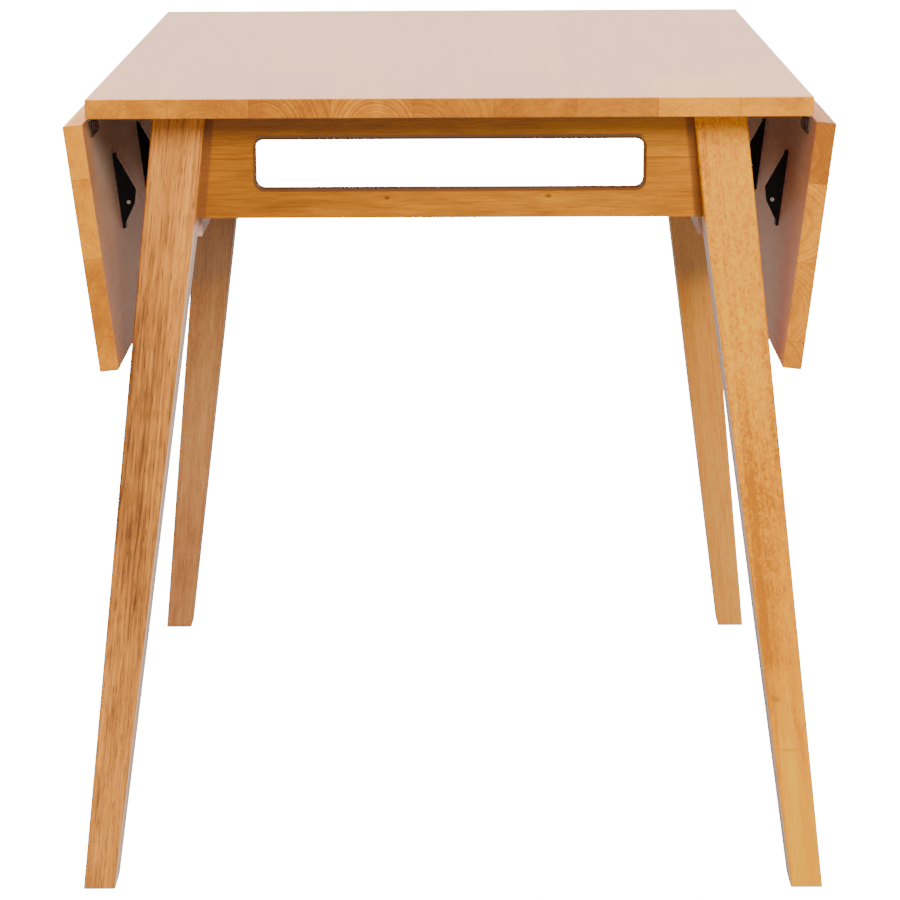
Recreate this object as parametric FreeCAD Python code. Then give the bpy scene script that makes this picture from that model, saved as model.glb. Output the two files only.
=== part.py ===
# Drop-leaf table: a top of glued staves on four splayed legs, two leaves that hang at the sides
# on back-flap hinges, and flat steel bars that pull out under the raised leaves.
# Millimetres. +Z up, +Y to the back, origin on the floor under the centre of the table.
import FreeCAD, Part
import math
import os

V = FreeCAD.Vector

# ---- driving dimensions -------------------------------------------------------------------
top_width = 652.0            # centre top, across (X)
top_depth = 700.0            # centre top and leaves, front to back (Y)
table_height = 750.0         # floor to top surface
board_thickness = 18.0       # top and leaves
leaf_width = 228.0
board_easing = 1.2           # rounding along the boards' upper and lower edges
leaf_joint_gap = 1.0         # between top edge and raised leaf

leg_inset_x = 55.0           # legs' outer faces behind the top's edges, where they meet the top
leg_inset_y = 49.0
splay_x_deg = 6.4            # lean of the legs, sideways and front to back
splay_y_deg = 7.0
leg_width = 48.0             # along X, down to the taper
leg_thick = 45.0             # along Y, down to the taper
foot_width = 30.5
foot_thick = 36.0
leg_rounding = 2.5

apron_height = 101.0         # front and back
apron_thick = 18.0
apron_setback = 8.0          # behind the leg's face, at the top
slot_width = 358.0
slot_height = 46.0
slot_above = 28.5            # wood above the slot
slot_corner = 8.0
slot_chamfer = 2.5
rail_height = 122.0          # side rails
rail_thick = 18.0
rail_setback = 21.0          # behind the leg's face, at the top

block_height = 60.0          # corner blocks
block_drop = 32.0            # their top, below the underside
block_reach = 26.5           # of the diagonal face, inward of the leg's corner
block_leg_gap = 1.0
bolt_r = 4.0
bolt_in_leg = 28.0
bolt_out = 12.0              # beyond the diagonal face
washer_r = 8.0
washer_thick = 1.6
nut_across = 13.0
nut_height = 6.5

clip_length = 20.0              # angle brackets that hold the top
clip_width = 18.0
clip_thick = 2.0
clip_screw_at = 12.0         # from the bracket's corner

hinge_length = 50.0
hinge_flap = 19.0            # each flap, from the pin
hinge_plate = 1.6
hinge_barrel_r = 3.0
hinge_pin_r = 1.5
hinge_pin_drop = 3.3         # pin centre below the underside
hinge_inset = 63.0           # hinge's middle from the board's end
hinge_screw_y = 12.0         # either side of the hinge's middle
hinge_screw_d = [10.0, 14.0] # from the pin, one a side, staggered
hinge_corner = 4.0
knuckle_gap = 0.4
knuckle_count = 3
hang_tilt_deg = 6.2          # the leaf hangs this far inward of plumb

keeper_inset = 154.0         # front face of the outer ears, from the leaf's ends; one more in the middle
keeper_plate = 2.5
keeper_start = 52.0          # along the leaf, from its hinged edge
keeper_length = 73.0
keeper_flange = 12.0         # behind the ear, with its plate
keeper_corner = 3.0
keeper_screw_at = [12.0, 61.0]    # from keeper_start
ear_step = 2.5               # ear's height where it starts
ear_peak = 37.0              # from keeper_start to the ear's peak
ear_height = 17.5
ear_shoulder = 50.0          # from keeper_start to its second corner
ear_shoulder_height = 14.5
ear_rounding = 4.0
keeper_pin_d = 48.0          # from keeper_start
keeper_pin_drop = 9.2        # below the leaf
keeper_pin_r = 2.0
keeper_pin_proud = 0.8       # in front of the ear

bar_width = 26.0             # pull-out bars
bar_thick = 3.0
bar_tip_inset = 10.0         # behind the top's edge when home
bar_tip_r = 9.0
bar_travel = 125.0
tie_width = 26.0
tie_thick = 3.0
tie_corner = 4.0
rivet_r = 2.5
rivet_head_r = 4.5
rivet_head = 1.5
guide_thick = 1.5
guide_foot = 14.0
guide_length = 16.0
guide_inset = 36.0           # guide's outer face behind the top's edge
guide_screw_at = 7.0         # from the end of the guide's foot

screw_r = 1.6
screw_head_r = 3.2
screw_length = 13.0
screw_sides = 6              # small turned pieces have few flat sides here
bolt_sides = 8
barrel_sides = 12            # washers and hinge knuckles

seat_gap = 0.3               # clearance of pieces that slide or seat loosely
fit_gap = 0.05               # radial clearance of pins, bolts and screws in their holes
touch = 0.01                 # for telling which edges lie on a face

# ---- worked out from them -----------------------------------------------------------------
underside = table_height - board_thickness
edge_x = top_width / 2
half_depth = top_depth / 2
lean_x = math.tan(math.radians(splay_x_deg))
lean_y = math.tan(math.radians(splay_y_deg))
rail_bottom = underside - rail_height
apron_bottom = underside - apron_height
leg_top_x = edge_x - leg_inset_x
leg_top_y = half_depth - leg_inset_y
rail_inner_x = leg_top_x - rail_setback - rail_thick
pin_z = underside - hinge_pin_drop
hinge_y = [-half_depth + hinge_inset, half_depth - hinge_inset]
keeper_y = [-half_depth + keeper_inset, 0.0, half_depth - keeper_inset]
leaf_edge_x = edge_x + leaf_joint_gap
raise_angle = 90.0 + hang_tilt_deg
bar_top = underside - seat_gap
bar_tip_x = edge_x - bar_tip_inset
tie_outer_x = rail_inner_x - clip_length - seat_gap - bar_travel      # the top's clips stop it
tie_inner_x = tie_outer_x - tie_width
tie_top = bar_top - bar_thick


def leg_outer_x(z):
    return leg_top_x + lean_x * (underside - z)


def leg_outer_y(z):
    return leg_top_y + lean_y * (underside - z)


apron_face_y = leg_top_y - apron_setback
apron_inner_y = apron_face_y - apron_thick


# ---- small helpers ------------------------------------------------------------------------
def box(x0, x1, y0, y1, z0, z1):
    return Part.makeBox(x1 - x0, y1 - y0, z1 - z0, V(x0, y0, z0))


def prism(points, direction):
    face = Part.Face(Part.makePolygon(points + [points[0]]))
    return face.extrude(direction)


def turned(profile, base, axis, sides):
    """Turned form with flat sides: profile holds (distance along the axis, radius) pairs."""
    rings = []
    for along, radius in profile:
        corners = [V(radius, 0, along)]
        for i in range(1, sides + 1):
            angle = 2 * math.pi * i / sides
            corners.append(V(radius * math.cos(angle), radius * math.sin(angle), along))
        corners[-1] = corners[0]
        rings.append(Part.makePolygon(corners))
    solid = Part.makeLoft(rings, True, True)
    solid.Placement = FreeCAD.Placement(base, FreeCAD.Rotation(V(0, 0, 1), axis))
    return solid


def rod(base, axis, length, radius):
    return Part.makeCylinder(radius, length, base, axis)


def screw(head_point, axis, length=screw_length, gap=0.0):
    """Countersunk wood screw, its head flush at head_point; with a gap it is the hole's cutter."""
    countersink = screw_head_r - screw_r
    profile = [(0, screw_head_r + gap), (countersink, screw_r + gap), (length + gap, screw_r + gap)]
    return turned(profile, head_point, axis, screw_sides)


def screws(places):
    return [screw(*place) for place in places]


def drilled(shape, places):
    for place in places:
        shape = shape.cut(screw(*place, gap=fit_gap))
    return shape


def mirrored(shape, axis):
    return shape.mirror(V(0, 0, 0), axis)


def in_corners(shape):
    """The same piece in all four corners, by mirroring."""
    right = [shape, mirrored(shape, V(0, 1, 0))]
    return right + [mirrored(one, V(1, 0, 0)) for one in right]


def hung(shape):
    """From the raised leaf, on the right, to the hanging one."""
    turned = shape.copy()
    turned.rotate(V(edge_x, 0, pin_z), V(0, 1, 0), raise_angle)
    return turned


def both_sides(name, right):
    """One node for the right, one for its mirror image on the left."""
    right = right if isinstance(right, list) else [right]
    save(name + "_right", right)
    save(name + "_left", [mirrored(one, V(1, 0, 0)) for one in right])


def save(name, shape):
    if isinstance(shape, list):
        shape = Part.makeCompound(shape) if len(shape) > 1 else shape[0]
    shape.exportStep("parts/" + name + ".step")
    solids = shape.Solids
    print("%-28s %3d solids %9.1f cm3 valid %s" % (name, len(solids), shape.Volume / 1000, shape.isValid()))


# ---- screw places, shared by the pieces that are screwed together -------------------------
def hinge_screw_places(side):
    """side -1: flaps under the top; +1: flaps under the raised leaf."""
    places = []
    for y in hinge_y:
        for turn, d in zip((-1, 1), hinge_screw_d):
            place = V(edge_x + side * d, y + turn * hinge_screw_y, underside - hinge_plate)
            places.append((place, V(0, 0, 1)))
    return places


def keeper_screw_places():
    places = []
    for y in keeper_y:
        for along in keeper_screw_at:
            x = leaf_edge_x + keeper_start + along
            across = (keeper_plate + keeper_flange) / 2
            places.append((V(x, y + across, underside - keeper_plate), V(0, 0, 1)))
    return places


def bar_centre(y):
    return y + keeper_flange + seat_gap + bar_width / 2


def guide_screw_places():
    places = []
    x = edge_x - guide_inset - guide_length / 2
    reach = bar_width / 2 + seat_gap + guide_thick + guide_foot - guide_screw_at
    for y in keeper_y:
        for side in (-1, 1):
            places.append((V(x, bar_centre(y) + side * reach, underside - guide_thick), V(0, 0, 1)))
    return places


def clip_places():
    """Corner of each angle bracket and the way its flat leg points: one in the middle of each
    apron, and one between each two bars on a side rail."""
    places = [(V(0, side * apron_inner_y, underside), V(0, -side, 0)) for side in (1, -1)]
    for y, next_y in zip(keeper_y, keeper_y[1:]):
        between_bars = (bar_centre(y) + bar_centre(next_y)) / 2
        for side in (1, -1):
            places.append((V(side * rail_inner_x, between_bars, underside), V(-side, 0, 0)))
    return places


def clip_screw_places():
    """Screws up into the top, and screws out into rail or apron."""
    up, out = [], []
    for corner, inward in clip_places():
        up.append((corner + inward * clip_screw_at - V(0, 0, clip_thick), V(0, 0, 1)))
        out.append((corner + inward * clip_thick - V(0, 0, clip_screw_at), inward * -1))
    return up, out


# ---- boards -------------------------------------------------------------------------------
def eased_board(x0, x1):
    board = box(x0, x1, -half_depth, half_depth, underside, table_height)
    return board.makeFillet(board_easing, [e for e in board.Edges if e.BoundBox.ZLength < touch])


def centre_top():
    board = eased_board(-edge_x, edge_x)
    holes = hinge_screw_places(-1) + guide_screw_places()
    holes += [(V(-p.x, p.y, p.z), a) for p, a in holes]
    return drilled(board, holes + clip_screw_places()[0])


def leaf():
    board = eased_board(leaf_edge_x, leaf_edge_x + leaf_width)
    return hung(drilled(board, hinge_screw_places(1) + keeper_screw_places()))


# ---- underframe ---------------------------------------------------------------------------
def leg_outline(outer, width, foot):
    """(distance, height) seen square on: even down to the rails' lower edge, then tapered inside."""
    return [(outer(0), 0), (outer(underside), underside), (outer(underside) - width, underside),
            (outer(rail_bottom) - width, rail_bottom), (outer(0) - foot, 0)]


def leg():
    """What its outlines from the front and from the side have in common."""
    from_front = leg_outline(leg_outer_x, leg_width, foot_width)
    from_side = leg_outline(leg_outer_y, leg_thick, foot_thick)
    front = prism([V(x, 0, z) for x, z in from_front], V(0, leg_outer_y(0), 0))
    side = prism([V(0, y, z) for y, z in from_side], V(leg_outer_x(0), 0, 0))
    body = front.common(side)
    inmost_x = leg_outer_x(0) - foot_width
    inmost_y = leg_outer_y(0) - foot_thick
    long_edges = [e for e in body.Edges if e.BoundBox.ZLength > rail_height / 2
                  and (e.BoundBox.XMax > inmost_x + touch or e.BoundBox.YMax > inmost_y + touch)]
    body = body.makeFillet(leg_rounding, long_edges)
    return body.cut(hanger_bolt_hole())


def apron():
    """Back apron, slotted; its ends lean with the legs."""
    high = leg_outer_x(underside) - leg_width
    low = leg_outer_x(apron_bottom) - leg_width
    corners = [(-high, underside), (high, underside), (low, apron_bottom), (-low, apron_bottom)]
    board = prism([V(x, apron_inner_y, z) for x, z in corners], V(0, apron_thick, 0))
    slot_top = underside - slot_above
    half = slot_width / 2
    slot = box(-half, half, apron_inner_y, apron_face_y, slot_top - slot_height, slot_top)
    slot = slot.makeFillet(slot_corner, [e for e in slot.Edges if e.BoundBox.YLength > touch])
    board = board.cut(slot)
    rim = [e for e in board.Edges if is_slot_rim(e)]
    board = board.makeChamfer(slot_chamfer, rim)
    return drilled(board, [p for p in clip_screw_places()[1] if p[1].y > 0.5])


def is_slot_rim(edge):
    limits = edge.BoundBox
    flat = limits.YLength < touch
    inside = max(abs(limits.XMin), abs(limits.XMax)) < slot_width / 2 + touch
    clear_of_edges = limits.ZMax < underside - touch and limits.ZMin > apron_bottom + touch
    return flat and inside and clear_of_edges


def side_rail():
    high = leg_outer_y(underside) - leg_thick
    low = leg_outer_y(rail_bottom) - leg_thick
    corners = [(-high, underside), (high, underside), (low, rail_bottom), (-low, rail_bottom)]
    board = prism([V(rail_inner_x, y, z) for y, z in corners], V(rail_thick, 0, 0))
    half = bar_width / 2 + seat_gap
    floor = bar_top - bar_thick - seat_gap
    for y in keeper_y:
        middle = bar_centre(y)
        board = board.cut(box(rail_inner_x, rail_inner_x + rail_thick, middle - half, middle + half,
                              floor, underside))
    return drilled(board, [p for p in clip_screw_places()[1] if p[1].x > 0.5])


# ---- corner blocks and leg bolts ----------------------------------------------------------
block_top = underside - block_drop
bolt_z = block_top - block_height / 2
bolt_axis = V(1, 1, 0).normalize()
leg_inner_sum = leg_outer_x(bolt_z) - leg_width + leg_outer_y(bolt_z) - leg_thick
block_diagonal = leg_inner_sum - block_reach * math.sqrt(2)      # x + y of the diagonal face


def bolt_start():
    """Where the bolt's axis crosses the block's diagonal face."""
    rail_corner = V(rail_inner_x, leg_outer_y(bolt_z) - leg_thick, 0)
    apron_corner = V(leg_outer_x(bolt_z) - leg_width, apron_inner_y, 0)
    offset = ((rail_corner.x - rail_corner.y) + (apron_corner.x - apron_corner.y)) / 2
    return V((block_diagonal + offset) / 2, (block_diagonal - offset) / 2, bolt_z)


def hanger_bolt_end():
    start = bolt_start()
    to_leg = (leg_outer_x(bolt_z) - leg_width - start.x) / bolt_axis.x
    return to_leg + bolt_in_leg


def hanger_bolt(radius=bolt_r, past_end=0.0):
    base = bolt_start() - bolt_axis * bolt_out
    profile = [(0, radius), (bolt_out + hanger_bolt_end() + past_end, radius)]
    return turned(profile, base, bolt_axis, bolt_sides)


def hanger_bolt_hole():
    return hanger_bolt(bolt_r + fit_gap, seat_gap)


def corner_block():
    notch_x = leg_outer_x(block_top) - leg_width - block_leg_gap
    notch_y = leg_outer_y(block_top) - leg_thick - block_leg_gap
    outline = [(rail_inner_x, block_diagonal - rail_inner_x), (rail_inner_x, notch_y), (notch_x, notch_y),
               (notch_x, apron_inner_y), (block_diagonal - apron_inner_y, apron_inner_y)]
    body = prism([V(x, y, block_top - block_height) for x, y in outline], V(0, 0, block_height))
    return body.cut(hanger_bolt_hole())


def washer():
    base = bolt_start() - bolt_axis * washer_thick
    ring = turned([(0, washer_r), (washer_thick, washer_r)], base, bolt_axis, barrel_sides)
    return ring.cut(hanger_bolt_hole())


def hex_nut():
    corner_r = nut_across / 2 / math.cos(math.pi / 6)
    base = bolt_start() - bolt_axis * (washer_thick + nut_height)
    nut = turned([(0, corner_r), (nut_height, corner_r)], base, bolt_axis, 6)
    return nut.cut(hanger_bolt_hole())


# ---- angle brackets that hold the top -----------------------------------------------------
def clip(corner, inward):
    along = V(0, 0, 1).cross(inward)
    start = corner - along * (clip_width / 2)
    steps = [(0, 0), (clip_length, 0), (clip_length, clip_thick), (clip_thick, clip_thick),
             (clip_thick, clip_length), (0, clip_length)]
    return prism([start + inward * s - V(0, 0, t) for s, t in steps], along * clip_width)


def clips():
    up, out = clip_screw_places()
    return [drilled(clip(*place), [lift, push]) for place, lift, push in zip(clip_places(), up, out)]


# ---- back-flap hinges ---------------------------------------------------------------------
def knuckle_spans(y, middle):
    """Stretches along the pin: every other knuckle, from the first or from the second."""
    low = y - hinge_length / 2
    pitch = (hinge_length + knuckle_gap) / knuckle_count
    chosen = range(1 if middle else 0, knuckle_count, 2)
    return [(low + i * pitch, low + (i + 1) * pitch - knuckle_gap) for i in chosen]


def pin_bore(y, pin_turns_in_it):
    """Round where the knuckle turns on the pin, flat-sided like the pin where it holds it."""
    start = V(edge_x, y - hinge_length / 2, pin_z)
    radius = hinge_pin_r + fit_gap
    if pin_turns_in_it:
        return rod(start, V(0, 1, 0), hinge_length, radius)
    return turned([(0, radius), (hinge_length, radius)], start, V(0, 1, 0), bolt_sides)


def hinge_flap_at(y, side):
    near = edge_x + side * (hinge_barrel_r + knuckle_gap)
    inner = edge_x + side * knuckle_gap
    far = edge_x + side * hinge_flap
    z0 = underside - hinge_plate
    plate = box(min(near, far), max(near, far), y - hinge_length / 2, y + hinge_length / 2, z0, underside)
    for low, high in knuckle_spans(y, side > 0):
        plate = plate.fuse(box(min(inner, near), max(inner, near), low, high, z0, underside))
        knuckle = [(0, hinge_barrel_r), (high - low, hinge_barrel_r)]
        plate = plate.fuse(turned(knuckle, V(edge_x, low, pin_z), V(0, 1, 0), barrel_sides))
    plate = plate.removeSplitter().cut(pin_bore(y, side > 0))
    plate = plate.makeFillet(hinge_corner, [e for e in plate.Edges if is_flap_corner(e, far)])
    return drilled(plate, [p for p in hinge_screw_places(side) if abs(p[0].y - y) < hinge_length / 2])


def hinge_flaps(side):
    """side -1: under the top, with the outer knuckles; +1: under the leaf, with the middle one."""
    return [hinge_flap_at(y, side) for y in hinge_y]


def is_flap_corner(edge, far):
    limits = edge.BoundBox
    return abs(limits.XMin - far) < touch and abs(limits.XMax - far) < touch and limits.YLength < touch


def hinge_pins():
    pin = [(0, hinge_pin_r), (hinge_length, hinge_pin_r)]
    return [turned(pin, V(edge_x, y - hinge_length / 2, pin_z), V(0, 1, 0), bolt_sides) for y in hinge_y]


# ---- keepers on the leaves ----------------------------------------------------------------
def ear_outline(y):
    x0 = leaf_edge_x + keeper_start
    steps = [(0, 0), (0, ear_step), (ear_peak, ear_height), (ear_shoulder, ear_shoulder_height),
             (keeper_length, 0)]
    return [V(x0 + d, y, underside - n) for d, n in steps]


def keeper(y):
    """Pressed steel bracket: a flange screwed to the leaf and an upright ear with a cross pin."""
    ear = prism(ear_outline(y), V(0, keeper_plate, 0))
    tips = [e for e in ear.Edges if e.BoundBox.ZMax < underside - ear_step - 1 and e.BoundBox.YLength > 1]
    ear = ear.makeFillet(ear_rounding, tips)
    x0 = leaf_edge_x + keeper_start
    flange = box(x0, x0 + keeper_length, y, y + keeper_flange, underside - keeper_plate, underside)
    corners = [e for e in flange.Edges if e.BoundBox.ZLength > 1 and e.BoundBox.YMin > y + keeper_plate]
    flange = flange.makeFillet(keeper_corner, corners)
    body = ear.fuse(flange).removeSplitter()
    body = body.cut(keeper_pin_hole(y))
    return hung(drilled(body, [p for p in keeper_screw_places() if abs(p[0].y - y) < keeper_flange]))


def keeper_pin_axis(y):
    return V(leaf_edge_x + keeper_start + keeper_pin_d, y, underside - keeper_pin_drop)


def keeper_pin_hole(y):
    radius = keeper_pin_r + fit_gap
    return turned([(0, radius), (keeper_plate, radius)], keeper_pin_axis(y), V(0, 1, 0), bolt_sides)


def keeper_pin(y):
    """Rod through the ear, as far as the bar's far edge."""
    long = keeper_pin_proud + keeper_flange + seat_gap + bar_width
    profile = [(0, keeper_pin_r), (long, keeper_pin_r)]
    return hung(turned(profile, keeper_pin_axis(y - keeper_pin_proud), V(0, 1, 0), bolt_sides))


# ---- pull-out support ---------------------------------------------------------------------
def rivet_place(y):
    return V((tie_inner_x + tie_outer_x) / 2, bar_centre(y), bar_top)


def support_bar(y):
    half = bar_width / 2
    middle = bar_centre(y)
    bar = box(tie_inner_x, bar_tip_x, middle - half, middle + half, bar_top - bar_thick, bar_top)
    tip = [e for e in bar.Edges if e.BoundBox.ZLength > 1 and e.BoundBox.XMin > bar_tip_x - 1]
    bar = bar.makeFillet(bar_tip_r, tip)
    return bar.cut(rivet_hole(y))


def rivet_hole(y):
    radius = rivet_r + fit_gap
    return turned([(0, radius), (tie_thick + bar_thick, radius)], rivet_place(y), V(0, 0, -1), bolt_sides)


def support_tie():
    low = bar_centre(keeper_y[0]) - bar_width / 2
    high = bar_centre(keeper_y[-1]) + bar_width / 2
    strip = box(tie_inner_x, tie_outer_x, low, high, tie_top - tie_thick, tie_top)
    strip = strip.makeFillet(tie_corner, [e for e in strip.Edges if e.BoundBox.ZLength > 1])
    for y in keeper_y:
        strip = strip.cut(rivet_hole(y))
    return strip


def support_rivet(y):
    """Flush in the bar, with a head under the tie."""
    length = tie_thick + bar_thick
    shank = turned([(0, rivet_r), (length, rivet_r)], rivet_place(y), V(0, 0, -1), bolt_sides)
    head = [(0, rivet_head_r), (rivet_head, rivet_head_r * 0.6)]
    return shank.fuse(turned(head, rivet_place(y) - V(0, 0, length), V(0, 0, -1), bolt_sides))


def bar_guide(y):
    """Bent strap under the bar, a foot screwed to the top at each side."""
    middle = bar_centre(y)
    half = bar_width / 2 + seat_gap
    floor = bar_top - bar_thick - seat_gap
    outer = half + guide_thick
    far = outer + guide_foot
    x0 = edge_x - guide_inset - guide_length
    foot = underside - guide_thick
    bed = floor - guide_thick
    section = [(-far, underside), (-half, underside), (-half, floor), (half, floor), (half, underside),
               (far, underside), (far, foot), (outer, foot), (outer, bed), (-outer, bed), (-outer, foot),
               (-far, foot)]
    strap = prism([V(x0, middle + s, z) for s, z in section], V(guide_length, 0, 0))
    return drilled(strap, [p for p in guide_screw_places() if abs(p[0].y - middle) < far])


# ---- everything, one file a node ----------------------------------------------------------
os.makedirs("parts", exist_ok=True)

save("tabletop_centre", centre_top())
both_sides("leaf", leaf())

for place, shape in zip(("back_right", "front_right", "back_left", "front_left"), in_corners(leg())):
    save("leg_" + place, shape)

back_apron = apron()
save("apron_back", back_apron)
save("apron_front", mirrored(back_apron, V(0, 1, 0)))
both_sides("side_rail", side_rail())

save("corner_blocks", in_corners(corner_block()))
save("hanger_bolts", in_corners(hanger_bolt()))
save("hanger_washers", in_corners(washer()))
save("hanger_nuts", in_corners(hex_nut()))

save("top_clips", clips())
clip_up, clip_out = clip_screw_places()
save("top_clip_screws", screws(clip_up + clip_out))

both_sides("hinge_flaps_top", hinge_flaps(-1))
both_sides("hinge_flaps_leaf", [hung(flap) for flap in hinge_flaps(1)])
both_sides("hinge_pins", hinge_pins())
both_sides("hinge_screws_top", screws(hinge_screw_places(-1)))
both_sides("hinge_screws_leaf", [hung(one) for one in screws(hinge_screw_places(1))])

both_sides("keepers", [keeper(y) for y in keeper_y])
both_sides("keeper_pins", [keeper_pin(y) for y in keeper_y])
both_sides("keeper_screws", [hung(one) for one in screws(keeper_screw_places())])

both_sides("support_bars", [support_bar(y) for y in keeper_y])
both_sides("support_tie", support_tie())
both_sides("support_rivets", [support_rivet(y) for y in keeper_y])
both_sides("bar_guides", [bar_guide(y) for y in keeper_y])
both_sides("bar_guide_screws", screws(guide_screw_places()))
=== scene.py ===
# A small wooden dining table with two drop leaves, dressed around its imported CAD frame. Metres throughout.
import math

import bmesh
import bpy
from mathutils import Matrix, Vector


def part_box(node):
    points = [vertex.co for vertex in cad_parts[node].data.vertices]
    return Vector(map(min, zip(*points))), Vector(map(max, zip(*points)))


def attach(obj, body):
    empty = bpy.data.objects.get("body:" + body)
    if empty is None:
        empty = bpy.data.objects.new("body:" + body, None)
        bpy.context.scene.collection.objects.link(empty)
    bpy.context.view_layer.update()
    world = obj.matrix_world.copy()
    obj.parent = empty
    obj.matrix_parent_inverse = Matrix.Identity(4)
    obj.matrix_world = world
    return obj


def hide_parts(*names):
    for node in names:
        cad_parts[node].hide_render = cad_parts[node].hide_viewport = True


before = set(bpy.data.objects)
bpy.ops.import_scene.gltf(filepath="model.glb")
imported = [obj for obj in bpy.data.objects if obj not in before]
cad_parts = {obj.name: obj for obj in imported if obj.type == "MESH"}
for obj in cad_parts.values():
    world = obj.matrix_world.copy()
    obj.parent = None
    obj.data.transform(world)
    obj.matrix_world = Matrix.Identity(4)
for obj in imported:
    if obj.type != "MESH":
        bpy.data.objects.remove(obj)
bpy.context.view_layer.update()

# ---- Studio -------------------------------------------------------------------------------
# Not part of the table: a seamless white sheet, a grey one over it that only the light meets, a
# broad softbox ahead, a wide one behind and one above, and a long lens at standing height.
camera = bpy.data.objects.new("studio_camera", bpy.data.cameras.new("studio_camera"))
bpy.context.scene.collection.objects.link(camera)
bpy.context.scene.camera = camera
camera_place = Vector((0.01172, -2.71166, 1.08989))
pitch, yaw, roll = (math.radians(degrees) for degrees in (15.7623, -0.3023, -0.2922))
ahead = Vector((math.sin(yaw) * math.cos(pitch), math.cos(yaw) * math.cos(pitch), -math.sin(pitch)))
level = Vector((math.cos(yaw), -math.sin(yaw), 0))
upright = level.cross(ahead)
camera_right = level * math.cos(roll) + upright * math.sin(roll)
camera_up = upright * math.cos(roll) - level * math.sin(roll)
turn = Matrix((camera_right, camera_up, -ahead)).transposed().to_4x4()
camera.matrix_world = Matrix.Translation(camera_place) @ turn
sensor_width_mm = 36
focal_in_pixels, width_in_pixels = 2648.5, 900
camera.data.sensor_width = sensor_width_mm
camera.data.lens = focal_in_pixels / width_in_pixels * sensor_width_mm
camera.data.clip_end = 60


def studio_sheet(name, height, size=40):
    """A level square sheet under the whole studio."""
    bpy.ops.mesh.primitive_plane_add(size=size, location=(0, 0, height))
    sheet = bpy.context.object
    sheet.name = name
    return sheet


white_sheet = studio_sheet("studio_white_sheet", -0.003)
white_sheet.visible_diffuse = False
white_sheet.visible_glossy = False
floor_sheet = studio_sheet("studio_floor_sheet", -0.001)
floor_sheet.visible_camera = False
floor_sheet.visible_shadow = False


def softbox(name, place, width, height, radiance, target=(0, 0, 0.5)):
    """A flat lamp, turned to the table, that sends the same light from all of its face."""
    lamp = bpy.data.lights.new(name, "AREA")
    lamp.shape, lamp.size, lamp.size_y = "RECTANGLE", width, height
    lamp.energy = radiance * math.pi * width * height
    holder = bpy.data.objects.new(name, lamp)
    bpy.context.scene.collection.objects.link(holder)
    aim = Vector(place) - Vector(target)
    holder.matrix_world = Matrix.Translation(place) @ aim.to_track_quat("Z", "Y").to_matrix().to_4x4()


softbox("softbox_front", place=(0.9, -3.5, 2.5), width=1.9, height=1.5, radiance=20)
softbox("softbox_back", place=(0, 4.6, 2.0), width=6.0, height=3.0, radiance=1.6)
softbox("softbox_above", place=(0, 0.1, 3.1), width=2.4, height=1.6, radiance=11)

studio_air = bpy.data.worlds.new("studio_air")
bpy.context.scene.world = studio_air
studio_air.use_nodes = True
air_glow = studio_air.node_tree.nodes["Background"]
air_glow.inputs["Color"].default_value = (1, 1, 1, 1)
air_glow.inputs["Strength"].default_value = 0.38


class Value:
    """A value inside a tree of nodes, so that sums on it are written as plain arithmetic."""

    def __init__(self, bench, socket):
        self.bench = bench
        self.socket = socket

    def sum(self, operation, first, second):
        return self.bench.node("ShaderNodeMath", {"operation": operation}, {0: first, 1: second})

    def __add__(self, other):
        return self.sum("ADD", self, other)

    def __radd__(self, other):
        return self.sum("ADD", other, self)

    def __sub__(self, other):
        return self.sum("SUBTRACT", self, other)

    def __rsub__(self, other):
        return self.sum("SUBTRACT", other, self)

    def __mul__(self, other):
        return self.sum("MULTIPLY", self, other)

    def __rmul__(self, other):
        return self.sum("MULTIPLY", other, self)

    def __truediv__(self, other):
        return self.sum("DIVIDE", self, other)

    def __pow__(self, other):
        return self.sum("POWER", self, other)

    def __neg__(self):
        return 0 - self

    def __abs__(self):
        return self.bench.node("ShaderNodeMath", {"operation": "ABSOLUTE"}, {0: self})

    def floor(self):
        return self.bench.node("ShaderNodeMath", {"operation": "FLOOR"}, {0: self})

    def at_most(self, limit):
        return self.sum("MINIMUM", self, limit)


class Bench:
    """A tree of nodes under way, for a finish or for a shape."""

    def node(self, kind, settings=None, inputs=None, output=0):
        made = self.tree.nodes.new(kind)
        for key, value in (settings or {}).items():
            if key in ("stops", "steps"):
                self.grade(made.color_ramp, value, "LINEAR" if key == "stops" else "CONSTANT")
            else:
                setattr(made, key, value)
        for key, value in (inputs or {}).items():
            if isinstance(value, Value):
                self.tree.links.new(value.socket, made.inputs[key])
            elif isinstance(value, list):
                for part in value:
                    self.tree.links.new(part.socket, made.inputs[key])
            else:
                made.inputs[key].default_value = value
        return Value(self, made.outputs[output])

    def grade(self, ramp, colours, interpolation):
        """Puts colours on a ramp, each at its place from 0 to 1."""
        ramp.interpolation = interpolation
        ramp.elements.remove(ramp.elements[1])
        ramp.elements[0].position = colours[0][0]
        ramp.elements[0].color = (*colours[0][1], 1)
        for position, colour in colours[1:]:
            ramp.elements.new(position).color = (*colour, 1)


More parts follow.
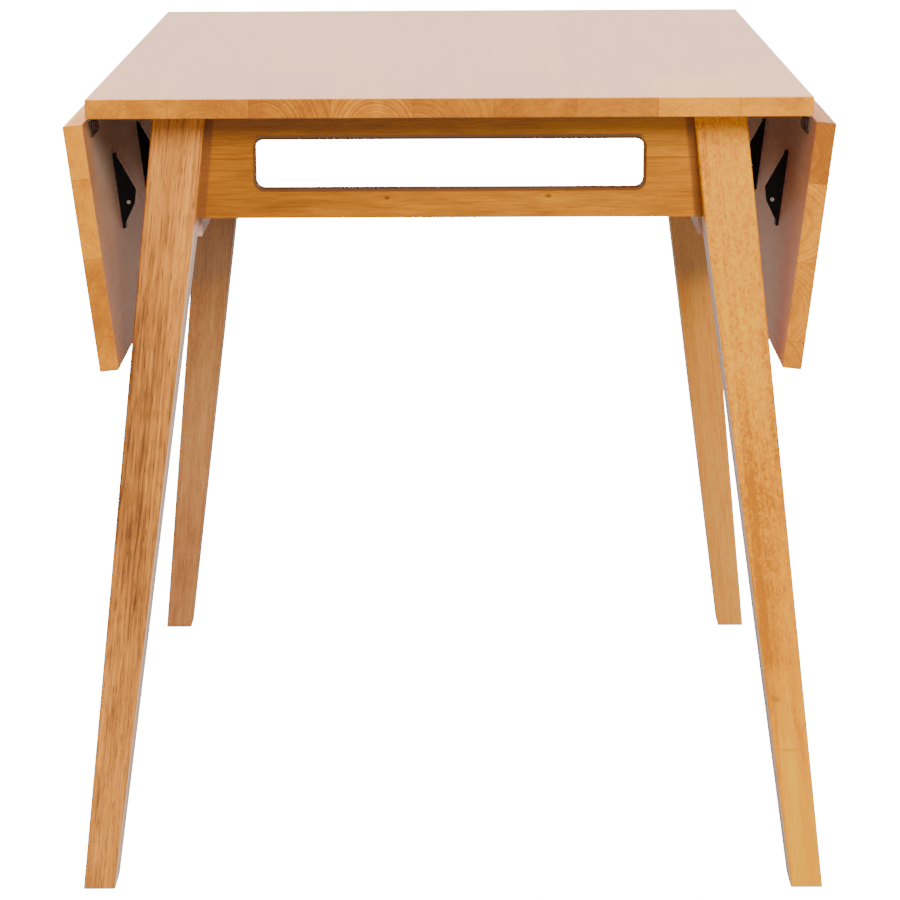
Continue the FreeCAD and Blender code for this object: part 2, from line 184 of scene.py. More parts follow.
class Finish(Bench):
    """A procedural material. Its pattern is laid out in the piece's own coordinates, in metres."""

    def __init__(self, name, **constants):
        self.material = bpy.data.materials.new(name)
        self.material.use_nodes = True
        self.tree = self.material.node_tree
        self.shader = self.tree.nodes["Principled BSDF"]
        for socket, value in constants.items():
            self.shader.inputs[socket.replace("_", " ")].default_value = value

    def parts(self, value, kind="ShaderNodeSeparateColor"):
        """The three numbers that a vector or a colour holds."""
        split = self.node(kind, inputs={0: value})
        return [Value(self, split.socket.node.outputs[axis]) for axis in range(3)]

    def place(self):
        """The piece's own x, y and z."""
        return self.parts(self.node("ShaderNodeTexCoord", output="Object"), "ShaderNodeSeparateXYZ")

    def point(self, x, y, z):
        return self.node("ShaderNodeCombineXYZ", inputs={0: x, 1: y, 2: z})

    def noise(self, point, detail=2.0, roughness=0.5, distortion=0.0):
        return self.node("ShaderNodeTexNoise", inputs={
            "Vector": point, "Scale": 1.0, "Detail": detail, "Roughness": roughness,
            "Distortion": distortion})

    def between(self, value, low, high, to_low=0.0, to_high=1.0):
        """A smooth step from one level to the other while the value goes from low to high."""
        limits = {"From Min": low, "From Max": high, "To Min": to_low, "To Max": to_high}
        return self.node("ShaderNodeMapRange", {"interpolation_type": "SMOOTHSTEP"}, {0: value, **limits})

    def mix(self, share, first, second):
        """From the first colour, where the share is 0, to the second, where it is 1."""
        first, second = (part if isinstance(part, Value) else (*part, 1) for part in (first, second))
        return self.node("ShaderNodeMix", {"data_type": "RGBA"}, {0: share, 6: first, 7: second}, output=2)

    def feed(self, socket, value):
        self.tree.links.new(value.socket, self.shader.inputs[socket])

    def emboss(self, height, depth, strength=1.0):
        self.feed("Normal", self.node("ShaderNodeBump", inputs={
            "Height": height, "Distance": depth, "Strength": strength}))

    def dress(self, *nodes):
        """Puts the finish on CAD nodes, in their own material slots."""
        for name in nodes:
            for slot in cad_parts[name].material_slots:
                slot.material = self.material


glowing_white = Finish("studio_white", Base_Color=(0.9, 0.9, 0.9, 1), Roughness=0.9,
                       Emission_Color=(1, 1, 1, 1), Emission_Strength=18)
white_sheet.data.materials.append(glowing_white.material)
plain_grey = Finish("studio_grey", Base_Color=(0.36, 0.35, 0.34, 1), Roughness=0.9)
floor_sheet.data.materials.append(plain_grey.material)


# ---- Centre top ---------------------------------------------------------------------------
# The middle board: nine rubberwood staves edge-glued side by side, their grain running front to
# back so that their ends show at the front. Satin lacquer all over.
class Wood(Finish):
    """Lacquered rubberwood: growth rings about an unseen pith, long streaks, pores and fibres."""

    def __init__(self, name, gloss=0.18):
        super().__init__(name, Coat_Roughness=0.3, Specular_IOR_Level=0.08, Coat_Weight=gloss)

    def lay(self, along, across, deep, seed, tones, pith=None, rings=0.15, streaks=0.25, fleck=0.0,
            shade=0.5):
        """The colour of wood whose grain runs along one direction, from dark, middle and pale tones.

        The pith is how far the unseen middle of the trunk lies, across and deep. Rings, streaks
        and fleck say how strongly each of them shows, and shade lifts or lowers the whole tone.
        """
        def grain(fine, long, shift, **character):
            """A pattern that changes so many times in a metre across the grain, and along it."""
            return self.noise(self.point(across * fine, deep * fine, along * long + shift), **character)

        def swing(pattern, share):
            """How far a pattern about one half lifts or lowers the tone."""
            return (pattern - 0.5) * share

        sway = grain(7, 2.0, seed, detail=1.0) - 0.5
        beside, below = pith or (across + 0.012, deep + 0.030)
        from_pith = ((beside + sway * 0.024) ** 2 + (below + sway * 0.014) ** 2) ** 0.5
        ring_width = 0.0019
        ring = self.noise(self.point(from_pith / ring_width, along * 0.5 + seed, seed * 7.0), roughness=0.6)
        drift = grain(26, 2.6, seed * 3.1, detail=3.0)
        mottle = grain(85, 18, seed * 1.3, detail=3.0)
        streak = grain(420, 13, seed, detail=4.0, roughness=0.65)
        fibre = grain(1100, 42, seed, detail=1.0)
        curl = grain(270, 165, seed, distortion=1.3)
        pore = grain(1250, 62, seed * 1.7, detail=1.0)
        tone = (0.5 + swing(self.between(ring, 0.3, 0.7), rings) + swing(drift, 0.8) + swing(mottle, 0.6)
                + swing(self.between(streak, 0.25, 0.75), streaks) + swing(fibre, 0.5)
                + swing(self.between(curl, 0.3, 0.7), fleck) + swing(shade, 0.9))
        dark, middle, pale = tones
        stops = [(0.08, dark), (0.5, middle), (0.92, pale)]
        colour = self.node("ShaderNodeValToRGB", {"stops": stops}, {0: tone})
        vessel = self.between(pore, 0.56, 0.76)
        self.feed("Roughness", self.between(fibre, 0.2, 0.8, 0.36, 0.48))
        self.emboss(fibre * 0.4 - vessel, 0.00010, 0.5)
        return self.mix(vessel * streaks * 1.6, colour, [channel * 0.5 for channel in dark])


honey = [(0.42, 0.120, 0.010), (0.66, 0.215, 0.010), (0.98, 0.36, 0.008)]
stave_width, stave_length = 0.0733, 0.31
top_low, top_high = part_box("tabletop_centre")
board_thickness = top_high.z - top_low.z


def staves(wood, across, along, below, front_row, seed):
    """The pith's place, the rings' strength and the tone of each length of stave, and the glue lines.

    The front row gives three shares for each length that ends at the front: the pith's place
    across the stave, how far below the board it lay, and the tone. The rest are left to chance.
    """
    stave = (across / stave_width).floor()
    start = wood.node("ShaderNodeTexWhiteNoise", {"noise_dimensions": "1D"}, {"W": stave + seed})
    length = (along / stave_length + start * 0.75).floor()
    chance = wood.node("ShaderNodeTexWhiteNoise", {"noise_dimensions": "2D"},
                       {"Vector": wood.point(stave + seed, length, 0.0)}, output="Color")
    steps = [(place / len(front_row), shares) for place, shares in enumerate(front_row)]
    front = wood.node("ShaderNodeValToRGB", {"steps": steps}, {0: (stave + 0.5) / len(front_row)})
    behind = length.at_most(1.0)
    beside, depth, tone = wood.parts(wood.mix(behind, front, wood.mix(0.55, chance, (0.5, 0.8, 0.5))))
    pith = (across - (stave + 0.5) * stave_width + (beside - 0.5) * 0.07, below + 0.012 + depth * 0.05)
    rings = wood.between(depth, 0.36, 0.6, 0.45, 0.12)
    off_glue = wood.node("ShaderNodeMath", {"operation": "PINGPONG"}, {0: across, 1: stave_width / 2})
    seam = 1 - wood.between(off_glue, 0.0001, 0.0006)
    return pith, rings, tone, seam


def lacquer(wood, colour, seam, below, dull):
    """The upper face is evener, paler and glossier than the edges.

    The under side is toned towards a dull colour, which stands for the shade that it lies in.
    """
    glue_line, upper_tone = (0.30, 0.08, 0.006), (0.86, 0.32, 0.08)
    upper = wood.between(below, -0.0009, -0.0002)
    under = 1 - wood.between(below, 0.0001 - board_thickness, 0.0003 - board_thickness)
    colour = wood.mix(seam * 0.5, colour, glue_line)
    colour = wood.mix(upper * 0.65, colour, upper_tone)
    wood.feed("Coat Weight", 0.2 + upper * 0.8)
    wood.feed("Base Color", wood.mix(under * 0.78, colour, dull))


top_front_row = [(0.20, 0.80, 0.48), (0.60, 0.70, 0.42), (0.86, 0.35, 0.12), (0.42, 0.33, 0.50),
                 (0.92, 0.50, 0.26), (0.30, 0.75, 0.24), (0.50, 0.62, 0.40), (0.45, 0.55, 0.80),
                 (0.70, 0.80, 0.74)]
top_dull = (0.51, 0.30, 0.20)
top_seed = 3.0
top_wood = Wood("top_lacquered_staves")
x, y, z = top_wood.place()
below = z - top_high.z
pith, rings, tone, seam = staves(top_wood, x - top_low.x, y - top_low.y, below, top_front_row, top_seed)
colour = top_wood.lay(y, x, below, top_seed, honey, pith, rings, streaks=0.15, shade=tone)
lacquer(top_wood, colour, seam, below, top_dull)
top_wood.dress("tabletop_centre")

# ---- Drop leaves --------------------------------------------------------------------------
# Boards of the same glued staves, grain again front to back. Each hangs on its hinges a little
# inward of plumb, so its pattern is laid out on the leaf's own width and thickness. The dull
# tones are the shade on the hanging leaf's under side, toned in from front to back.
pin_low, pin_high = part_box("hinge_pins_right")
pin_x, pin_z = (pin_low.x + pin_high.x) / 2, (pin_low.z + pin_high.z) / 2
pin_to_board = top_low.z - pin_z
hang = math.radians(96.2)
leaves = {
    "left": {"sign": -1, "first_stave": 0.023, "seed": 4.0, "stave_seed": 5.0,
             "front_row": [(0.3, 0.7, 0.85), (0.6, 0.55, 0.68), (0.2, 0.8, 0.45), (0.7, 0.7, 0.50)],
             "front_dull": (0.47, 0.225, 0.125), "back_dull": (0.51, 0.31, 0.23),
             "hinge_dull": (0.47, 0.45, 0.38)},
    "right": {"sign": 1, "first_stave": 0.0165, "seed": 6.0, "stave_seed": 17.0,
              "front_row": [(0.35, 0.36, 0.05), (0.5, 0.36, 0.66), (0.3, 0.45, 0.55), (0.6, 0.36, 0.42)],
              "front_dull": (0.74, 0.38, 0.22), "back_dull": (0.79, 0.51, 0.39),
              "hinge_dull": (0.68, 0.53, 0.42)}}
for side, leaf in leaves.items():
    leaf_wood = Wood("leaf_lacquered_staves_" + side)
    x, y, z = leaf_wood.place()
    from_front = y - top_low.y
    out, drop = x * leaf["sign"] - pin_x, z - pin_z
    down_leaf = out * math.cos(hang) - drop * math.sin(hang)
    through = out * math.sin(hang) + drop * math.cos(hang)
    below = through - pin_to_board - board_thickness
    pith, rings, tone, seam = staves(leaf_wood, down_leaf + leaf["first_stave"], from_front, below,
                                     leaf["front_row"], leaf["stave_seed"])
    colour = leaf_wood.lay(y, down_leaf, through, leaf["seed"], honey, pith, rings, streaks=0.15, shade=tone)
    towards_back = leaf_wood.between(from_front, 0.04, 0.23)
    near_hinge = (1 - leaf_wood.between(down_leaf, 0.03, 0.14)) * leaf_wood.between(from_front, 0.005, 0.08)
    dull = leaf_wood.mix(towards_back, leaf["front_dull"], leaf["back_dull"])
    lacquer(leaf_wood, colour, seam, below, leaf_wood.mix(near_hinge, dull, leaf["hinge_dull"]))
    leaf_wood.dress("leaf_" + side)

# ---- Legs ---------------------------------------------------------------------------------
# Four solid legs that lean outward both ways, straight down to the rails, then tapered on their
# inner sides, and bolted through corner blocks. Grain runs down the leg. The light on the front
# legs' inner sides and the shade on the back legs' tops are toned in.
lean_x, lean_y = math.tan(math.radians(6.4)), math.tan(math.radians(7.0))
foot_x, foot_y = 0.353, 0.391
leg_width, foot_width = 0.048, 0.0305
taper_start, apron_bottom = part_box("side_rail_left")[0].z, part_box("apron_front")[0].z
shade_z, shade_fade = 0.445, 0.020
streaky = [(0.20, 0.066, 0.018), (0.64, 0.225, 0.036), (1.0, 0.385, 0.052)]
figured = [(0.56, 0.165, 0.002), (0.95, 0.325, 0.003), (1.0, 0.48, 0.006)]
# The back legs' paler tones are partly their own wood and partly painted light.
pinkish = [(0.42, 0.15, 0.045), (0.70, 0.275, 0.082), (0.94, 0.42, 0.12)]
yellowish = [(0.72, 0.25, 0.030), (1.0, 0.38, 0.050), (1.0, 0.48, 0.080)]
leg_knot, lit_side, shaded_top = (0.36, 0.11, 0.012), (1.0, 0.70, 0.55), (0.26, 0.17, 0.11)
# A knot is its place across the leg and up it, half its breadth, half its height and how dark it is.
legs = {
    "leg_front_left": {"side": -1, "end": -1, "seed": 2.0, "tones": streaky, "streaks": 0.48, "fleck": 0.0,
                       "heart_z": 0.40, "heart_dark": 0.27,
                       "knots": [(-0.024, 0.455, 0.016, 0.006, 0.3), (-0.012, 0.375, 0.012, 0.010, 0.3)]},
    "leg_front_right": {"side": 1, "end": -1, "seed": 7.4, "tones": figured, "streaks": 0.12, "fleck": 0.45,
                        "heart_z": 0.30, "heart_dark": 0.36,
                        "knots": [(-0.027, 0.183, 0.0065, 0.0045, 0.5),
                                  (-0.019, 0.134, 0.014, 0.0025, 0.25)]},
    "leg_back_left": {"side": -1, "end": 1, "seed": 12.9, "tones": pinkish, "streaks": 0.2, "fleck": 0.1,
                      "heart_z": 0.05, "heart_dark": 0.25, "knots": []},
    "leg_back_right": {"side": 1, "end": 1, "seed": 17.3, "tones": yellowish, "streaks": 0.2, "fleck": 0.1,
                       "heart_z": 0.05, "heart_dark": 0.0, "knots": []}}
for name, leg in legs.items():
    in_front = leg["end"] < 0
    leg_wood = Wood(name + "_lacquered", gloss=0.22 if in_front else 0.32)
    x, y, z = leg_wood.place()
    across = x * leg["side"] + z * lean_x - foot_x
    deep = y * leg["end"] + z * lean_y - foot_y
    heart = leg_wood.between(abs(z - leg["heart_z"]), 0.04, 0.22, leg["heart_dark"], 0.0)
    cloud = leg_wood.noise(leg_wood.point(across * 20, deep * 20, z * 38 + leg["seed"]))
    fleck = leg_wood.between(z, 0.1, 0.5, 0.1, leg["fleck"])
    colour = leg_wood.lay(z, across, deep, leg["seed"], leg["tones"], rings=0.25, streaks=leg["streaks"],
                          fleck=fleck, shade=0.6 - heart * (0.4 + cloud * 1.2))
    for knot_across, knot_z, half_breadth, half_height, darkness in leg["knots"]:
        off_knot = (((across - knot_across) / half_breadth) ** 2 + ((z - knot_z) / half_height) ** 2) ** 0.5
        colour = leg_wood.mix((1 - leg_wood.between(off_knot, 0.3, 1.0)) * darkness, colour, leg_knot)
    if in_front:
        widening = (z * ((leg_width - foot_width) / taper_start)).at_most(leg_width - foot_width)
        inner_side = 1 - leg_wood.between(across + foot_width + widening, 0.0003, 0.0012)
        below_apron = 1 - leg_wood.between(z, apron_bottom - 0.009, apron_bottom + 0.001)
        colour = leg_wood.mix(inner_side * below_apron * 0.95, colour, lit_side)
    else:
        high_up = leg_wood.between(z, shade_z - shade_fade, shade_z + shade_fade)
        colour = leg_wood.mix(high_up * 0.5, colour, shaded_top)
    leg_wood.feed("Base Color", colour)
    leg_wood.dress(name)

# ---- Aprons -------------------------------------------------------------------------------
# The board under each end of the top, two golden strips edge-glued, with a long rounded slot
# routed through it and its ends cut to the lean of the legs it is glued between. Its cut faces are
# toned darker; painted shade lies under the top, at its ends by the legs and on the slot's top rim.
golden = [(0.26, 0.074, 0.005), (0.50, 0.160, 0.005), (0.80, 0.30, 0.006)]
strip_joint_z = 0.6865
strip_joint_dark, knot_dark, under_top_shade = (0.20, 0.05, 0.002), (0.10, 0.026, 0.004), (0.29, 0.125, 0.05)
slot_rim_shade, leg_corner_shade, cut_dark = (0.19, 0.095, 0.05), (0.20, 0.066, 0.018), (0.14, 0.055, 0.025)
rim_low, rim_high, rim_half_length = 0.7015, 0.708, 0.177
knots = [(0.015, 0.7245), (-0.058, 0.6495), (0.091, 0.6510)]
knot_stretch = 1.6
for name, seed in (("apron_front", 4.0), ("apron_back", 9.0)):
    apron_low, apron_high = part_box(name)
    apron_wood = Wood(name + "_lacquered")
    x, y, z = apron_wood.place()
    grain_z = z
    knot_mask = 0.0
    for knot_x, knot_z in knots:
        aside, above = x - knot_x, z - knot_z
        off_knot = ((aside / knot_stretch) ** 2 + above ** 2) ** 0.5
        near = 1 - apron_wood.between(off_knot, 0.001, 0.014)
        grain_z = grain_z - above * near * 0.8
        knot_mask = knot_mask + (1 - apron_wood.between(off_knot, 0.0006, 0.0028))
    upper_strip = apron_wood.between(z, strip_joint_z - 0.0001, strip_joint_z + 0.0001)
    colour = apron_wood.lay(x, grain_z - 0.70 + upper_strip * 0.31, y, seed, golden, rings=0.15, streaks=0.16,
                            shade=0.5 + x * 0.7)
    off_middle = abs(x)
    off_leg = apron_high.x - (z - apron_low.z) * lean_x - off_middle
    off_core = abs(y - (apron_low.y + apron_high.y) / 2)
    half_thick = (apron_high.y - apron_low.y) / 2
    strip_joint = 1 - apron_wood.between(abs(z - strip_joint_z), 0.0003, 0.0009)
    # Painted shade on the rim and chamfer along the top of the slot.
    under_rim_top = 1 - apron_wood.between(z, rim_high - 0.0006, rim_high + 0.0006)
    within_slot = 1 - apron_wood.between(off_middle, rim_half_length - 0.003, rim_half_length + 0.003)
    rim = under_rim_top * within_slot * apron_wood.between(z, rim_low - 0.0015, rim_low + 0.0015)
    # Painted shade in the corners where the apron meets the legs.
    end = 1 - apron_wood.between(off_leg, 0.006, 0.0095)
    cut = 1 - apron_wood.between(off_core, half_thick - 0.0009, half_thick - 0.0001)
    # Painted shade under the overhanging top, deepening upwards.
    towards_top = apron_wood.between(z, 0.690, 0.724)
    for share, stain in ((strip_joint * 0.4, strip_joint_dark), (knot_mask * 0.7, knot_dark),
                         (towards_top * 0.5, under_top_shade), (rim * 0.85, slot_rim_shade),
                         (end * 0.75, leg_corner_shade), (cut * 0.8, cut_dark)):
        colour = apron_wood.mix(share, colour, stain)
    apron_wood.feed("Base Color", colour)
    apron_wood.dress(name)

# ---- Side rails ---------------------------------------------------------------------------
# Deeper boards glued between front and back legs, notched along the top for the sliding bars.
# Lacquered like the rest; their ends carry painted light, pale like the legs' inner sides beside them.
rail_end_light = (0.62, 0.38, 0.29)
leg_thick = 0.045
for side, seed in (("left", 6.0), ("right", 14.0)):
    rail_wood = Wood("side_rail_lacquered_" + side, gloss=0.6)
    x, y, z = rail_wood.place()
    colour = rail_wood.lay(y, z - 0.68, x, seed, honey, streaks=0.4)
    from_end = foot_y - leg_thick - z * lean_y - abs(y)
    # Painted light on the rail's ends beside the legs.
    end = 1 - rail_wood.between(from_end, 0.0003, 0.0009)
    rail_wood.feed("Base Color", rail_wood.mix(end * 0.8, colour, rail_end_light))
    rail_wood.dress("side_rail_" + side)

# ---- Corner blocks ------------------------------------------------------------------------
# Blocks of raw rubberwood across the four inner corners, glued to rail and apron and drilled for
# the leg bolts. Their grain is upright and they have no lacquer.
raw = [(0.42, 0.21, 0.07), (0.62, 0.36, 0.15), (0.75, 0.48, 0.22)]
block_wood = Wood("corner_block_raw", gloss=0.0)
x, y, z = block_wood.place()
block_wood.feed("Base Color", block_wood.lay(z, x, y, 21.0, raw, streaks=0.5))
block_wood.dress("corner_blocks")

# ---- Top brackets -------------------------------------------------------------------------
# Small angle brackets that hold the top down to the rails and aprons. Steel strip, bent once,
# drilled for two screws and zinc-plated, so that it is bright with a faint cloudiness.
zinc = Finish("bright_zinc", Metallic=1.0)
x, y, z = zinc.place()
cloud = zinc.noise(zinc.point(x * 160, y * 160, z * 160), detail=4.0, roughness=0.6)
zinc.feed("Base Color", zinc.mix(cloud, (0.52, 0.52, 0.50), (0.80, 0.79, 0.75)))
zinc.feed("Roughness", zinc.between(cloud, 0.3, 0.7, 0.24, 0.42))
zinc.emboss(cloud, 0.00005)
zinc.dress("top_clips")


# ---- Leg bolts ----------------------------------------------------------------------------
# A hanger bolt out of each leg, through the corner block: threaded rod with a round washer and a
# hexagon nut whose corners are chamfered, all zinc-plated. Set out with one tree for the four.
class Fitting(Bench):
    """A Geometry Nodes tree that sets one small fitting on each seat, in sizes given by name."""

    def __init__(self, name, sizes):
        self.tree = bpy.data.node_groups.new(name, "GeometryNodeTree")
        self.sizes = sizes
        sockets = self.tree.interface
        sockets.new_socket("Geometry", in_out="OUTPUT", socket_type="NodeSocketGeometry")
        sockets.new_socket("Geometry", in_out="INPUT", socket_type="NodeSocketGeometry")
        self.inputs = {}
        for size in sizes:
            self.inputs[size] = sockets.new_socket(size, in_out="INPUT", socket_type="NodeSocketFloat")
        self.given = self.tree.nodes.new("NodeGroupInput")

    def size(self, name):
        """One of the tree's own inputs."""
        return Value(self, self.given.outputs[name])

    def vector(self, x, y, z):
        return self.node("ShaderNodeCombineXYZ", inputs={0: x, 1: y, 2: z})

    def cone(self, sides, low_radius, high_radius, depth, start):
        """A turned length along z, from its start upwards."""
        turned = self.node("GeometryNodeMeshCone", inputs={
            "Vertices": sides, "Radius Top": high_radius, "Radius Bottom": low_radius, "Depth": depth})
        return self.raised(turned, start)

    def raised(self, shape, height):
        return self.node("GeometryNodeTransform", inputs={
            "Geometry": shape, "Translation": self.vector(0.0, 0.0, height)})

    def joined(self, *shapes):
        return self.node("GeometryNodeJoinGeometry", inputs={0: list(shapes)})

    def seat(self, shape, seed):
        """One copy on every seat, facing along the seat's axis and stopped at a turn of its own."""
        axis = self.node("GeometryNodeInputNamedAttribute", {"data_type": "FLOAT_VECTOR"}, {"Name": "axis"})
        facing = self.node("FunctionNodeAlignRotationToVector", {"axis": "Z"}, {"Vector": axis})
        spin = self.node("FunctionNodeRandomValue", {"data_type": "FLOAT"},
                         {2: 0.0, 3: 2 * math.pi, "Seed": seed}, output=1)
        about = self.node("FunctionNodeAxisAngleToRotation", inputs={"Axis": (0, 0, 1), "Angle": spin})
        turned = self.node("FunctionNodeRotateRotation", {"rotation_space": "LOCAL"}, {0: facing, 1: about})
        copies = self.node("GeometryNodeInstanceOnPoints", inputs={
            "Points": self.size("Geometry"), "Instance": shape, "Rotation": turned})
        real = self.node("GeometryNodeRealizeInstances", inputs={0: copies})
        coated = self.node("GeometryNodeSetMaterial", inputs={"Geometry": real, "Material": zinc.material})
        self.tree.links.new(coated.socket, self.tree.nodes.new("NodeGroupOutput").inputs[0])

    def set_out(self, name, body, seats, *replaced):
        """Makes one plain mesh of the fittings of a body, in place of its plain CAD ones."""
        points = bpy.data.meshes.new(name + "_seats")
        points.from_pydata([head for head, axis in seats], [], [])
        axes = points.attributes.new("axis", "FLOAT_VECTOR", "POINT")
        for record, (head, axis) in zip(axes.data, seats):
            record.vector = axis
        piece = bpy.data.objects.new(name, points)
        bpy.context.scene.collection.objects.link(piece)
        modifier = piece.modifiers.new("set_out", "NODES")
        modifier.node_group = self.tree
        for size, value in self.sizes.items():
            modifier[self.inputs[size].identifier] = value
        graph = bpy.context.evaluated_depsgraph_get()
        plain = bpy.data.meshes.new_from_object(piece.evaluated_get(graph), depsgraph=graph)
        piece.modifiers.clear()
        piece.data = plain
        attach(piece, body)
        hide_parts(*replaced)


def solids(*nodes):
    """The points of each separate solid in some CAD nodes, which hold loose triangles."""
    found = []
    for name in nodes:
        copy = bmesh.new()
        copy.from_mesh(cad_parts[name].data)
        bmesh.ops.remove_doubles(copy, verts=copy.verts, dist=1e-5)
        copy.verts.index_update()
        seen = set()
        for first in copy.verts:
            waiting, solid = [first], []
            while waiting:
                vertex = waiting.pop()
                if vertex.index not in seen:
                    seen.add(vertex.index)
                    solid.append(vertex.co.copy())
                    waiting.extend(edge.other_vert(vertex) for edge in vertex.link_edges)
            if solid:
                found.append(solid)
        copy.free()
    return found


def middle_of(points):
    return sum(points, Vector()) / len(points)


def inner_ends(node):
    """Where each bolt, washer or nut ends towards the middle of the table, and that direction."""
    ends = []
    for solid in solids(node):
        middle = middle_of(solid)
        inward = Vector((-math.copysign(1, middle.x), -math.copysign(1, middle.y), 0)).normalized()
        reach = max((point - middle).dot(inward) for point in solid)
        ends.append((middle + inward * reach, inward))
    return ends


bolt_ends = inner_ends("hanger_bolts")
nut_ends = inner_ends("hanger_nuts")
washer_ends = inner_ends("hanger_washers")
bolt_fitting = Fitting("hanger_bolt_with_nut", {
    "bolt radius": 0.004, "bolt length": 0.070, "thread pitch": 0.00125, "threaded": 0.040,
    "nut corner radius": 0.0075, "nut flat radius": 0.0064, "nut height": 0.0065,
    "nut to end": (bolt_ends[0][0] - nut_ends[0][0]).length,
    "washer radius": 0.008, "washer thickness": 0.0016,
    "washer to end": (bolt_ends[0][0] - washer_ends[0][0]).length})
bolt_length, threaded = bolt_fitting.size("bolt length"), bolt_fitting.size("threaded")
thread_pitch = bolt_fitting.size("thread pitch")
ridge_radius = thread_pitch * 0.42
core_radius = bolt_fitting.size("bolt radius") - ridge_radius
core = bolt_fitting.cone(24, core_radius, core_radius, bolt_length, -bolt_length)
helix = bolt_fitting.node("GeometryNodeCurveSpiral", inputs={
    "Resolution": 20, "Rotations": threaded / thread_pitch, "Start Radius": core_radius,
    "End Radius": core_radius, "Height": threaded - thread_pitch})
ridge = bolt_fitting.node("GeometryNodeCurvePrimitiveCircle", inputs={
    "Resolution": 3, "Radius": ridge_radius})
thread = bolt_fitting.node("GeometryNodeCurveToMesh", inputs={"Curve": helix, "Profile Curve": ridge})
thread = bolt_fitting.raised(thread, thread_pitch * 0.5 - threaded)

corner, flat = bolt_fitting.size("nut corner radius"), bolt_fitting.size("nut flat radius")
nut_height = bolt_fitting.size("nut height")
nut_start = -bolt_fitting.size("nut to end") - nut_height
hexagon = bolt_fitting.cone(6, corner, corner, nut_height * 1.5, nut_start - nut_height * 0.25)
bevel = bolt_fitting.cone(32, flat + nut_height * 1.9, flat, nut_height, nut_start)
nut = bolt_fitting.node("GeometryNodeMeshBoolean", {"operation": "INTERSECT"}, {"Mesh 2": [hexagon, bevel]})

washer_radius, washer_thickness = bolt_fitting.size("washer radius"), bolt_fitting.size("washer thickness")
washer_start = -bolt_fitting.size("washer to end") - washer_thickness
washer = bolt_fitting.cone(40, washer_radius, washer_radius, washer_thickness, washer_start)
bolt_fitting.seat(bolt_fitting.joined(core, thread, nut, washer), seed=3)
bolt_fitting.set_out("leg_bolts_with_nuts", "frame", bolt_ends,
                     "hanger_bolts", "hanger_nuts", "hanger_washers")

# ---- Hinges -------------------------------------------------------------------------------
# Back-flap hinges of pressed steel, browned, one flap under the top and one on the leaf, rolled
# round a zinc-plated pin and held by countersunk screws.
browned = Finish("browned_steel", Metallic=0.8)
x, y, z = browned.place()
blot = browned.noise(browned.point(x * 120, y * 120, z * 120), detail=4.0)
browned.feed("Base Color", browned.mix(blot, (0.10, 0.085, 0.06), (0.24, 0.21, 0.16)))
browned.feed("Roughness", browned.between(blot, 0.3, 0.7, 0.34, 0.5))
for side in ("left", "right"):
    browned.dress("hinge_flaps_top_" + side, "hinge_flaps_leaf_" + side)
    zinc.dress("hinge_pins_" + side)

# ---- Keepers ------------------------------------------------------------------------------
# Three pressed steel brackets under each leaf, powder-coated black. The upright ear carries a
# bright cross pin that runs under a drawn-out bar and keeps the raised leaf down on it.
black = Finish("black_powder_coat", Specular_IOR_Level=0.16)
x, y, z = black.place()
grit = black.noise(black.point(x * 1400, y * 1400, z * 1400))
scuff = black.noise(black.point(x * 60, y * 60, z * 60), detail=5.0, roughness=0.7)
worn = black.between(scuff, 0.55, 0.8)
black.feed("Base Color", black.mix(worn, (0.003, 0.002, 0.002), (0.010, 0.007, 0.006)))
black.feed("Roughness", black.between(scuff, 0.3, 0.7, 0.42, 0.58))
black.emboss(grit, 0.00004)
for side in ("left", "right"):
    black.dress("keepers_" + side)
    zinc.dress("keeper_pins_" + side)

# ---- Sliding supports ---------------------------------------------------------------------
# Flat black steel bars that draw out under the raised leaf, three a side, riveted to a cross
# strip so that they move as one, in bent straps screwed under the top.
for side in ("left", "right"):
    black.dress("support_bars_" + side, "support_tie_" + side, "bar_guides_" + side)


# ---- Screws and rivets --------------------------------------------------------------------
# Countersunk cross-head wood screws through every bracket, hinge, keeper and guide, each stopped
# at its own turn, and rivets with domed heads through the support bars. Zinc-plated steel.
def far_end(points, start):
    """The middle of the points that lie furthest from the start."""
    reach = max((point - start).length for point in points)
    return middle_of([point for point in points if (point - start).length > reach - 0.0002])


def heads(*nodes):
    """The middle of each fastener's head, and the direction that the head faces."""
    seats = []
    for solid in solids(*nodes):
        tip = far_end(solid, middle_of(solid))
        head = far_end(solid, tip)
        seats.append((head, (head - tip).normalized()))
    return seats


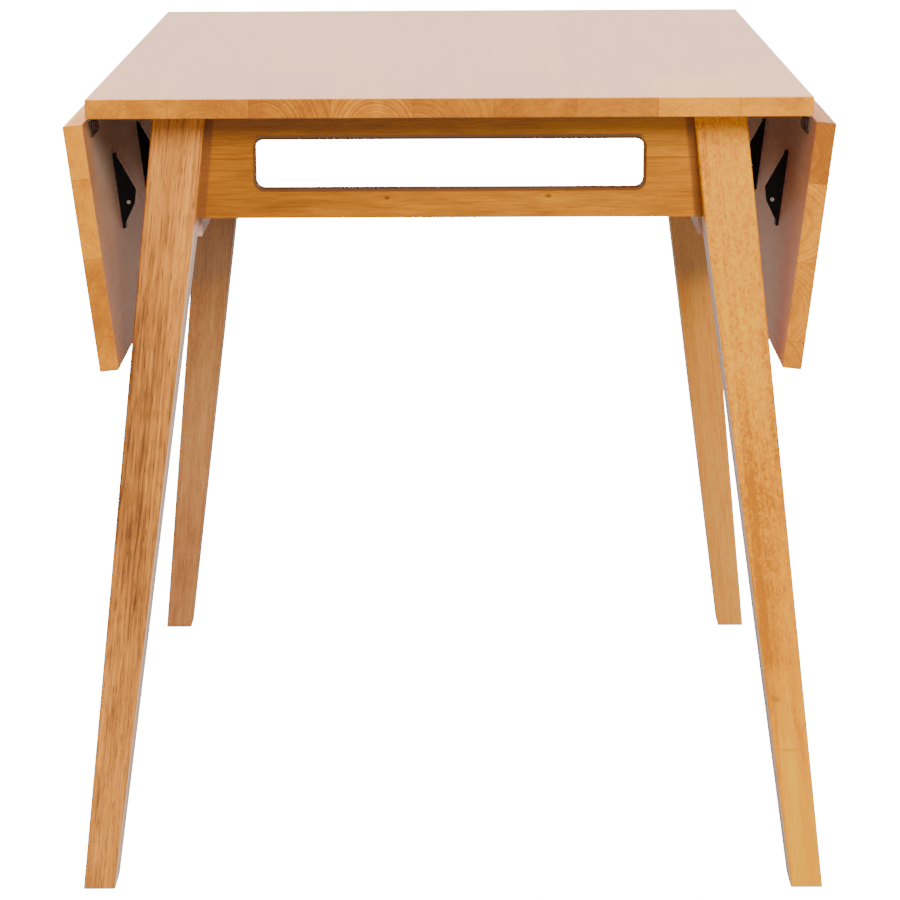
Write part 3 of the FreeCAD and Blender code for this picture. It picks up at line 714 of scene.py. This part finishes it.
screw = Fitting("cross_head_screw", {"head radius": 0.0032, "shank radius": 0.0016, "length": 0.013,
                                     "head depth": 0.0018, "recess depth": 0.0011, "proud": 0.0001})
head_radius, shank_radius, length = (screw.size(name) for name in ("head radius", "shank radius", "length"))
head_depth, recess_depth, proud = (screw.size(name) for name in ("head depth", "recess depth", "proud"))
arms = []
for long, wide in ((1.15, 0.28), (0.28, 1.15)):
    arm_size = screw.vector(head_radius * long, head_radius * wide, recess_depth * 2)
    arms.append(screw.node("GeometryNodeMeshCube", inputs={"Size": arm_size}))
cross = screw.node("GeometryNodeMeshBoolean", {"operation": "UNION"}, {"Mesh 2": arms})
cup = screw.cone(24, shank_radius, head_radius, head_depth, proud - head_depth)
cup = screw.node("GeometryNodeMeshBoolean", {"operation": "DIFFERENCE"}, {"Mesh 1": cup, "Mesh 2": cross})
shank = screw.cone(10, shank_radius * 0.4, shank_radius, length - head_depth, -length)
screw.seat(screw.joined(cup, shank), seed=8)

rivet = Fitting("domed_rivet", {"head radius": 0.0045, "head height": 0.0015, "shank radius": 0.0025,
                                "length": 0.0075})
head_radius, head_height, shank_radius, length = (
    rivet.size(name) for name in ("head radius", "head height", "shank radius", "length"))
ball = rivet.node("GeometryNodeMeshUVSphere", inputs={"Segments": 24, "Rings": 12, "Radius": 1.0})
dome = rivet.node("GeometryNodeTransform", inputs={
    "Geometry": ball, "Scale": rivet.vector(head_radius, head_radius, head_height)})
dome = rivet.node("GeometryNodeSetShadeSmooth", inputs={"Geometry": dome})
shank = rivet.cone(16, shank_radius, shank_radius, length - head_height, -length)
rivet.seat(rivet.joined(rivet.raised(dome, -head_height), shank), seed=5)

screw.set_out("top_bracket_screws", "frame", heads("top_clip_screws"), "top_clip_screws")
for side in ("left", "right"):
    for name, body in (("hinge_screws_top_", "frame"), ("bar_guide_screws_", "frame"),
                       ("hinge_screws_leaf_", side + "_leaf"), ("keeper_screws_", side + "_leaf")):
        screw.set_out("cross_head_" + name + side, body, heads(name + side), name + side)
    rivets = "support_rivets_" + side
    rivet.set_out("domed_" + rivets, side + "_support", heads(rivets), rivets)
